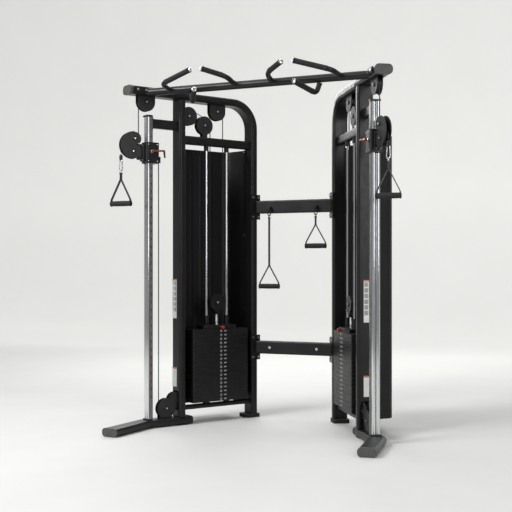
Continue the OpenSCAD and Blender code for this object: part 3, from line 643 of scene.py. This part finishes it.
def build_cable_handle(side):
    body, hook_body = f"{side}_strap_handle", f"{side}_handle_hook"
    low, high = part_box(f"{side}_strap_handle")
    hook_low, hook_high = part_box(f"{side}_handle_hook")
    middle = (hook_low + hook_high) / 2
    wire = 0.0032
    centre = Vector((middle.x, middle.y, hook_low.z + wire + SNAP_LENGTH / 2))
    build_snap(f"{side}_snap_hook", hook_body, centre, SNAP_LENGTH, 0.011, wire, "hook_steel",
               [f"{side}_handle_hook"])
    ball = hook_high.z - 0.021 - 0.028

    def barrel(bm):
        lathe(bm, [(0, -0.007), (0.0052, -0.007), (0.006, -0.0055), (0.006, 0), (0.0088, 0.0004),
                   (0.0108, 0.0030),
                   (0.0112, 0.0085), (0.0104, 0.0100), (0.0104, 0.0180), (0.0112, 0.0195), (0.0108, 0.0250),
                   (0.0088, 0.0276), (0.0050, 0.0282), (0.0046, 0.0340), (0.0036, 0.0352), (0, 0.0352)],
              Vector((middle.x, middle.y, ball)), UP, 36)

    merged(f"{side}_ball_stop", hook_body, "carriage_black", barrel)
    ring = Vector((middle.x, middle.y, hook_low.z + 2 * wire + 0.0025 - 0.0125))
    build_ring(f"{side}_strap_ring", body, ring, 0.0125, 0.0025, "hook_steel")
    grip_z = low.z + 0.018
    build_strap(f"{side}_handle_strap", body, middle, ring.z - 0.0125 + 0.0056, FORK_Z, grip_z,
                [f"{side}_strap_handle"])
    build_grip(f"{side}_handle_grip", body, Vector((middle.x, middle.y, grip_z)))


def build_stored_handle(name):
    low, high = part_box(name)
    pivot = joint_at(f"{name}_swing")
    middle = Vector((pivot.x, pivot.y, 0))
    wire = 0.003
    length = STORED_SNAP_LENGTH
    snap_top = high.z - wire
    build_snap(f"{name}_snap", name, Vector((pivot.x, pivot.y, snap_top - length / 2)), length, 0.0105, wire,
               "carriage_black")
    ring = Vector((pivot.x, pivot.y, snap_top - length + wire + 0.0024 - 0.0115))
    build_ring(f"{name}_ring", name, ring, 0.0115, 0.0024, "carriage_black")
    grip_z = low.z + 0.018
    build_strap(f"{name}_strap", name, middle, ring.z - 0.0115 + 0.0056, grip_z + STORED_FORK_RISE, grip_z,
                [name])
    build_grip(f"{name}_grip", name, Vector((pivot.x, pivot.y, grip_z)))


for side in SIDES:
    build_cable_handle(side)
for spare in ("long_storage_handle", "short_storage_handle"):
    build_stored_handle(spare)


# ---------------------------------------------------------------- pull-up grips
BAR = Vector((0, -0.2162, 2.124))
BAR_GRIPS = (  # foot on the bar, bend, end of the rubber, from the bar's middle
    ((0.556, 0, 0), (0.541, -0.150, 0.013), (0.328, -0.198, 0.073)),
    ((0.119, 0, 0.004), (0.129, -0.110, 0.034), (0.252, -0.200, 0.073)),
    ((0.425, 0, -0.008), (0.402, -0.012, -0.088), (0.318, -0.160, -0.038)),
)


def build_bar_grips():
    def lines():
        for side in (-1, 1):
            for foot, bend, end in BAR_GRIPS:
                yield [BAR + Vector((side * x, y, z)) for x, y, z in (foot, bend, end)]

    def tubes(bm):
        for foot, bend, end in lines():
            start = foot + (bend - foot).normalized() * 0.020
            path = rounded_path([start, bend, end], 0.045, 12)
            sweep(bm, path, circle_outline(0.0154, 24))
            away = (bend - foot).normalized()
            lathe(bm, [(0.0148, 0), (0.0182, 0), (0.0176, 0.0030), (0.0160, 0.0060), (0.0148, 0.0066)],
                  foot + away * 0.0215, away, 28)

    def rubber(bm):
        for foot, bend, end in lines():
            along = (end - bend).normalized()
            length = (end - bend).length - 0.030
            profile = [(0.0140, 0), (0.0160, 0), (0.0170, 0.0010), (0.0170, 0.0060), (0.0160, 0.0072)]
            rings = int(length / 0.006)
            for i in range(1, rings - 1):
                at = 0.0072 + (length - 0.0144) * i / rings
                profile += [(0.0160, at), (0.0157, at + 0.0007), (0.0157, at + 0.0014), (0.0160, at + 0.0021)]
            profile += [(0.0160, length - 0.0072), (0.0170, length - 0.0060), (0.0170, length - 0.0010),
                        (0.0162, length), (0.0140, length)]
            lathe(bm, profile, bend + along * 0.030, along, 32)

    def caps(bm):
        for foot, bend, end in lines():
            along = (end - bend).normalized()
            lathe(bm, [(0, 0.0002), (0.0152, 0.0002), (0.0152, 0.0040), (0.0140, 0.0062), (0.0110, 0.0078),
                       (0.0060, 0.0088), (0, 0.0090)], end, along, 32)

    merged("bar_grip_tubes", "root", "frame_paint", tubes, ["bar_grips"])
    merged("bar_grip_sleeves", "root", "grip_rubber", rubber, smooth=50)
    merged("bar_grip_caps", "root", "cap_chrome", caps, ["grip_caps"])


# ---------------------------------------------------------------- placards and marks
def build_placards(side):
    """Two plain label plates on the upright's front face: a header, boxes and rules without any text."""
    tower = TOWER[side]
    face = 0.0252
    plates = ((0.690, 0.944), (0.246, 0.371))  # lower and upper edge; only the first has marks

    def sheets(bm):
        for low, high in plates:
            block(bm, tower, (face, -0.012, low), (face + 0.0008, 0.044, high), 0.0003, 1)

    def headers(bm):
        for low, high in plates:
            block(bm, tower, (face + 0.0006, -0.011, high - 0.009), (face + 0.0012, 0.043, high - 0.001),
                  0.0002, 1)

    def ink(bm):
        def mark(v0, v1, z0, z1):
            block(bm, tower, (face + 0.0006, v0, z0), (face + 0.0011, v1, z1), 0.0001, 1)

        for low, high in plates[:1]:
            rows = int((high - low - 0.018) / 0.034)
            for row in range(rows):
                top = high - 0.014 - row * 0.034
                mark(-0.008, 0.014, top - 0.026, top)
                for line in range(4):
                    mark(0.018, 0.040 - 0.005 * (line % 2), top - 0.004 - line * 0.0068,
                         top - 0.001 - line * 0.0068)

    merged(f"{side}_placard_sheets", "root", "placard_white", sheets)
    merged(f"{side}_placard_headers", "root", "placard_orange", headers)
    merged(f"{side}_placard_marks", "root", "placard_ink", ink)


PLATE_COUNT = 18


def build_stack_marks(side):
    """On each plate a rimmed bore for the pin and a plain pale mark beside it."""
    tower = TOWER[side]
    low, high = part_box("weight_plates")
    pitch = (high.z + 0.001 - low.z) / PLATE_COUNT
    face = -0.060

    def marks(bm):
        for i in range(PLATE_COUNT):
            z = low.z + (i + 0.5) * pitch - 0.0005
            block(bm, tower, (STACK_U - 0.033 - 0.0095, face - 0.0007, z - 0.0042),
                  (STACK_U - 0.033 + 0.0095, face + 0.0004, z + 0.0042), 0.0003, 1)

    def rims(bm):
        for i in range(PLATE_COUNT):
            z = low.z + (i + 0.5) * pitch - 0.0005
            lathe(bm, [(0.0052, 0.0004), (0.0052, -0.0008), (0.0076, -0.0008), (0.0082, -0.0002),
                       (0.0082, 0.0004)],
                  tower @ Vector((STACK_U, face, z)), tower.to_3x3() @ Vector((0, 1, 0)), 24)

    merged(f"{side}_plate_marks", "root", "mark_silver", marks)
    merged(f"{side}_plate_rims", "root", "mark_silver", rims)


# ---------------------------------------------------------------- pulley heads and covers
COVER_FACE = 0.018


def cover_detail(bm_ring, bm_bolt, matrix, centre, face=COVER_FACE):
    """A dark dished ring and a bright domed bolt on both faces of a cover."""
    turn = matrix.to_3x3()
    for sign in (-1, 1):
        axis = turn @ Vector((0, sign, 0))
        base = matrix @ Vector((centre.x, sign * (face - 0.0002), centre.z))
        lathe(bm_ring,
              [(0.0062, 0.0001), (0.0062, 0.0056), (0.0108, 0.0056), (0.0122, 0.0046), (0.0138, 0.0004),
                        (0.0138, 0.0001)], base, axis, 36)
        socket_screw(bm_bolt, base + axis * 0.0050, axis, 0.0058, 0.0024)


def build_head(side):
    head = HEAD[side]
    upper = joint_at(f"{side}_head_wheel_upper_spin").z
    lower = joint_at(f"{side}_head_wheel_lower_spin").z
    rings, bolts = bmesh.new(), bmesh.new()
    for d, z in ((HEAD_RUN, upper), (0.040, lower)):
        cover_detail(rings, bolts, head, Vector((d, 0, z)))
    finish_piece(f"{side}_head_bolt_rings", rings, f"{side}_swivel_head", "carriage_black")
    finish_piece(f"{side}_head_bolts", bolts, f"{side}_swivel_head", "bolt_steel")


def build_float(side):
    """The floating pulley's bolts, and the chrome sleeve on the stem under it."""
    tower, body = TOWER[side], f"{side}_stack_head"
    place = tower.inverted() @ joint_at(f"{side}_float_wheel_spin")
    rings, bolts = bmesh.new(), bmesh.new()
    cover_detail(rings, bolts, tower, place)
    finish_piece(f"{side}_float_rings", rings, body, "carriage_black")
    finish_piece(f"{side}_float_bolts", bolts, body, "bolt_steel")

    def sleeve(bm):
        lathe(bm, [(0.0101, 0.0), (0.0145, 0.0), (0.0145, 0.006), (0.0112, 0.008), (0.0108, 0.012),
                   (0.0108, 0.072),
                   (0.0122, 0.074), (0.0122, 0.078), (0.0101, 0.078)],
              tower @ Vector((STACK_U, 0, PLATE_TOP + 0.0242)), UP, 32)

    merged(f"{side}_stem_sleeve", body, "chrome_tube", sleeve)


def build_tower_covers(side):
    tower = TOWER[side]
    rings, bolts = bmesh.new(), bmesh.new()
    for wheel in ("arm_wheel", "top_wheel_front", "top_wheel_middle", "top_wheel_rear", "base_wheel_front"):
        place = tower.inverted() @ joint_at(f"{side}_{wheel}_spin")
        cover_detail(rings, bolts, tower, place)
    finish_piece(f"{side}_cover_rings", rings, "root", "carriage_black")
    finish_piece(f"{side}_cover_bolts", bolts, "root", "bolt_steel")


# ---------------------------------------------------------------- carriages
def build_carriage(side):
    tower, body = TOWER[side], f"{side}_carriage"
    low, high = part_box(f"{side}_carriage")
    turn = tower.to_3x3()

    def collars(bm):
        for z, way in ((low.z, -1), (high.z, 1)):
            lathe(bm, [(0.0129, -0.001), (0.0129, 0.0022), (0.0142, 0.0030), (0.0160, 0.0024), (0.0168, 0),
                       (0.0168, -0.001)], tower @ Vector((COLUMN_U, COLUMN_V + 0.013, z)), UP * way, 32)

    def rims(bm):
        for v in (-0.0206, 0.0206):
            corners = [(0.2595, low.z + 0.014), (0.2595, high.z - 0.014), (0.2755, high.z - 0.014),
                       (0.2755, low.z + 0.014)]
            loop = []
            for i, (u, z) in enumerate(corners):
                before, after = corners[i - 1], corners[(i + 1) % 4]
                here = Vector((u, v, z))
                first = here + (Vector((before[0], v, before[1])) - here).normalized() * 0.004
                last = here + (Vector((after[0], v, after[1])) - here).normalized() * 0.004
                loop += [first.lerp(here, t).lerp(here.lerp(last, t), t) for t in (0, 0.25, 0.5, 0.75, 1)]
            sweep(bm, [tower @ p for p in loop], circle_outline(0.0009, 8), closed=True,
                  up=turn @ Vector((0, 1, 0)))

    def screws(bm):
        inner = turn @ Vector((0, -1, 0))
        for u in (COLUMN_U - 0.052, COLUMN_U + 0.012):
            for z in (low.z + 0.014, high.z - 0.014):
                socket_screw(bm, tower @ Vector((u, COLUMN_V - 0.0402, z)), inner, 0.0042, 0.0026)
        for v in (-0.012, 0.012):
            for z in (low.z + 0.021, high.z - 0.021):
                socket_screw(bm, tower @ Vector((0.2758, v, z)), turn @ Vector((1, 0, 0)), 0.0040, 0.0026)

    merged(f"{side}_carriage_collars", body, "pad_rubber", collars)
    merged(f"{side}_carriage_rims", body, "cap_grey", rims)
    merged(f"{side}_carriage_screws", body, "bolt_steel", screws)


def build_pull_lever(side):
    """A plunger with a red-brown bar for the fingers that ends in a black turned-down tip."""
    tower, body = TOWER[side], f"{side}_pull_pin"
    turn = tower.to_3x3()
    z = 1.754
    face = COLUMN_V - 0.040

    def local(u, v, rise):
        return tower @ Vector((u, v, z + rise))

    inner = turn @ Vector((0, -1, 0))

    def plunger(bm):
        lathe(bm, [(0, -0.0080), (0.0034, -0.0080), (0.0040, -0.0072), (0.0040, 0.012), (0, 0.012)],
              local(RAIL_U, face, 0), inner, 24)
        lathe(bm, [(0.0041, 0.0008), (0.0098, 0.0008), (0.0104, 0.0016), (0.0104, 0.0060), (0.0088, 0.0076),
                   (0.0041, 0.0078)], local(RAIL_U, face, 0), inner, 28)

    def bar(bm):
        lathe(bm, [(0, 0.0080), (0.0085, 0.0080), (0.0096, 0.0092), (0.0096, 0.0235), (0.0082, 0.0252),
                   (0, 0.0256)],
              local(RAIL_U, face, 0), inner, 32)
        path = [local(RAIL_U, face - 0.019, 0), local(0.190, face - 0.023, 0.0026),
                local(0.158, face - 0.0266, 0.0048)]
        sweep(bm, rounded_path(path, 0.012), circle_outline(0.0062, 20))

    def tip(bm):
        path = rounded_path([local(0.1625, face - 0.0262, 0.0046), local(0.1525, face - 0.0272, 0.005),
                             local(0.1482, face - 0.028, -0.040)], 0.012, 10)
        sweep(bm, path, circle_outline(0.0066, 20), scale=[0.55, *[1.0] * (len(path) - 2), 0.75])

    merged(f"{side}_pull_plunger", body, "bolt_steel", plunger)
    merged(f"{side}_pull_lever", body, "pull_red", bar, [f"{side}_pull_pin"], smooth=50)
    merged(f"{side}_pull_tip", body, "carriage_black", tip, smooth=60)


def build_selector(side):
    tower, body = TOWER[side], f"{side}_selector_pin"
    low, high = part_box(f"{side}_selector_pin")
    z = (low.z + high.z) / 2
    outward = tower.to_3x3() @ Vector((0, -1, 0))
    base = tower @ Vector((STACK_U, 0, z))

    def pin(bm):
        lathe(bm, [(0, -0.0120), (0.0026, -0.0120), (0.0040, -0.0100), (0.0040, 0.066), (0, 0.066)], base,
              outward, 24)

    def knob(bm):
        lathe(bm, [(0, 0.0625), (0.0078, 0.0625), (0.0092, 0.0640), (0.0088, 0.0690), (0.0096, 0.0730),
                   (0.0110, 0.0765),
                   (0.0110, 0.0870), (0.0100, 0.0900), (0.0070, 0.0916), (0, 0.0920)], base, outward, 36)

    merged(f"{side}_selector_shaft", body, "bolt_steel", pin)
    merged(f"{side}_selector_knob", body, "selector_red", knob, [f"{side}_selector_pin"])


# ---------------------------------------------------------------- columns and shrouds
RAIL_HOLES = 34
HOLE_PITCH = 0.050
LOWEST_HOLE = 0.200
HIGHEST_MARK = 1.877


def build_column(side):
    tower = TOWER[side]
    turn = tower.to_3x3()
    rail_face = -0.036

    # Dark discs set inside the rail's holes: painted shade standing in for the shadow in each hole, not real
    # parts.
    def hole_shade_discs(bm):
        for i in range(RAIL_HOLES):
            z = LOWEST_HOLE + i * HOLE_PITCH
            if z < HIGHEST_MARK:
                lathe(bm, [(0, 0.0008), (0.0044, 0.0008), (0.0044, 0.0030), (0, 0.0030)],
                      tower @ Vector((RAIL_U, rail_face, z)), turn @ Vector((0, 1, 0)), 20)

    def marks(bm):
        for i in range(RAIL_HOLES):
            z = LOWEST_HOLE + (i + 0.5) * HOLE_PITCH
            if z < HIGHEST_MARK:
                block(bm, tower, (RAIL_U - 0.0030, rail_face - 0.0003, z - 0.0016),
                      (RAIL_U + 0.0030, rail_face + 0.0003, z + 0.0016), 0.0001, 1)

    merged(f"{side}_rail_hole_shade", "root", "pad_rubber", hole_shade_discs)
    merged(f"{side}_rail_marks", "root", "placard_ink", marks)


def build_shroud_ribs(side):
    """Shallow swages pressed down the inside of the outer sheet."""
    tower = TOWER[side]
    low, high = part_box("side_shrouds")
    inner_face = 0.2018

    def ribs(bm):
        for u in (-0.150, -0.215, -0.290, -0.365):
            outline = [(u - 0.011, inner_face), (u - 0.004, inner_face - 0.0022),
                       (u + 0.004, inner_face - 0.0022),
                       (u + 0.011, inner_face)]
            rings = [[bm.verts.new(tower @ Vector((a, b, z))) for a, b in outline] for z in (low.z + 0.004,
                                                                                             high.z - 0.004)]
            for i in range(3):
                bm.faces.new((rings[0][i], rings[0][i + 1], rings[1][i + 1], rings[1][i]))
            bm.faces.new((rings[0][3], rings[0][0], rings[1][0], rings[1][3]))
            bm.faces.new(rings[0][::-1])
            bm.faces.new(rings[1])

    merged(f"{side}_shroud_ribs", "root", "shroud_sheet", ribs)


build_bar_grips()
for side in SIDES:
    build_placards(side)
    build_stack_marks(side)
    build_head(side)
    build_float(side)
    build_tower_covers(side)
    build_carriage(side)
    build_pull_lever(side)
    build_selector(side)
    build_column(side)
    build_shroud_ribs(side)


# ---------------------------------------------------------------- studio
def studio():
    """A pale floor that curves up into a backdrop, with soft lights."""
    bm = bmesh.new()
    profile = [(-9.0, 0.0), (8.4, 0.0)]
    profile += [(8.4 + 2.4 * math.sin(a),
                 2.4 - 2.4 * math.cos(a)) for a in (math.pi / 2 * i / 16 for i in range(1, 17))]
    profile.append((10.8, 9.0))
    rows = [[bm.verts.new((x, y, z - 0.0004)) for x in (-16, 16)] for y, z in profile]
    for low, high in zip(rows, rows[1:]):
        bm.faces.new((low[0], low[1], high[1], high[0]))
    mesh = bpy.data.meshes.new("backdrop")
    bm.to_mesh(mesh)
    bm.free()
    for polygon in mesh.polygons:
        polygon.use_smooth = True
    material = surface("backdrop", (0.66, 0.66, 0.645), (0.69, 0.69, 0.675), (0.55, 0.75), patch=1.5,
                       grain=60,
                       grain_depth=0.0002, Emission_Color=(0.98, 0.975, 0.955, 1))
    tree = material.node_tree
    place = tree.nodes.new("ShaderNodeTexCoord")
    split = tree.nodes.new("ShaderNodeSeparateXYZ")
    link(tree, place.outputs["Object"], split.inputs["Vector"])
    glow = ranged(tree, split.outputs["Y"], 0.0, 0.42, (1.0, 5.2))
    link(tree, glow, tree.nodes["Principled BSDF"].inputs["Emission Strength"])
    mesh.materials.append(material)
    floor = bpy.data.objects.new("backdrop", mesh)
    SCENE.collection.objects.link(floor)


def area_light(name, place, target, size, power):
    data = bpy.data.lights.new(name, "AREA")
    data.shape = "RECTANGLE"
    data.size, data.size_y = size
    data.energy = power
    lamp = bpy.data.objects.new(name, data)
    lamp.location = place
    lamp.rotation_euler = (Vector(target) - Vector(place)).to_track_quat("-Z", "Y").to_euler()
    SCENE.collection.objects.link(lamp)


studio()
area_light("key", (-3.0, -4.4, 4.4), (0, 0, 1.0), (2.2, 2.2), 330)
area_light("fill", (4.8, -3.0, 2.6), (0, 0, 1.1), (1.4, 3.2), 80)
area_light("top", (0.0, 0.3, 4.8), (0, 0, 0), (4.5, 4.5), 75)
area_light("back", (-2.2, 3.9, 3.4), (0, 0, 1.3), (3.0, 1.6), 80)

world = bpy.data.worlds.new("studio")
world.use_nodes = True
world.node_tree.nodes["Background"].inputs["Color"].default_value = (0.90, 0.905, 0.91, 1)
world.node_tree.nodes["Background"].inputs["Strength"].default_value = 0.36
SCENE.world = world
SCENE.view_settings.view_transform = "Standard"
SCENE.view_settings.look = "None"

camera_data = bpy.data.cameras.new("camera")
camera_data.sensor_width = 36.0
camera_data.lens = 65.62
camera_data.shift_y = 0.0226
camera = bpy.data.objects.new("camera", camera_data)
camera.location = (2.1456, -5.405, 1.0187)
camera.rotation_euler = (math.radians(90), 0, math.radians(22.31))
SCENE.collection.objects.link(camera)
SCENE.camera = camera
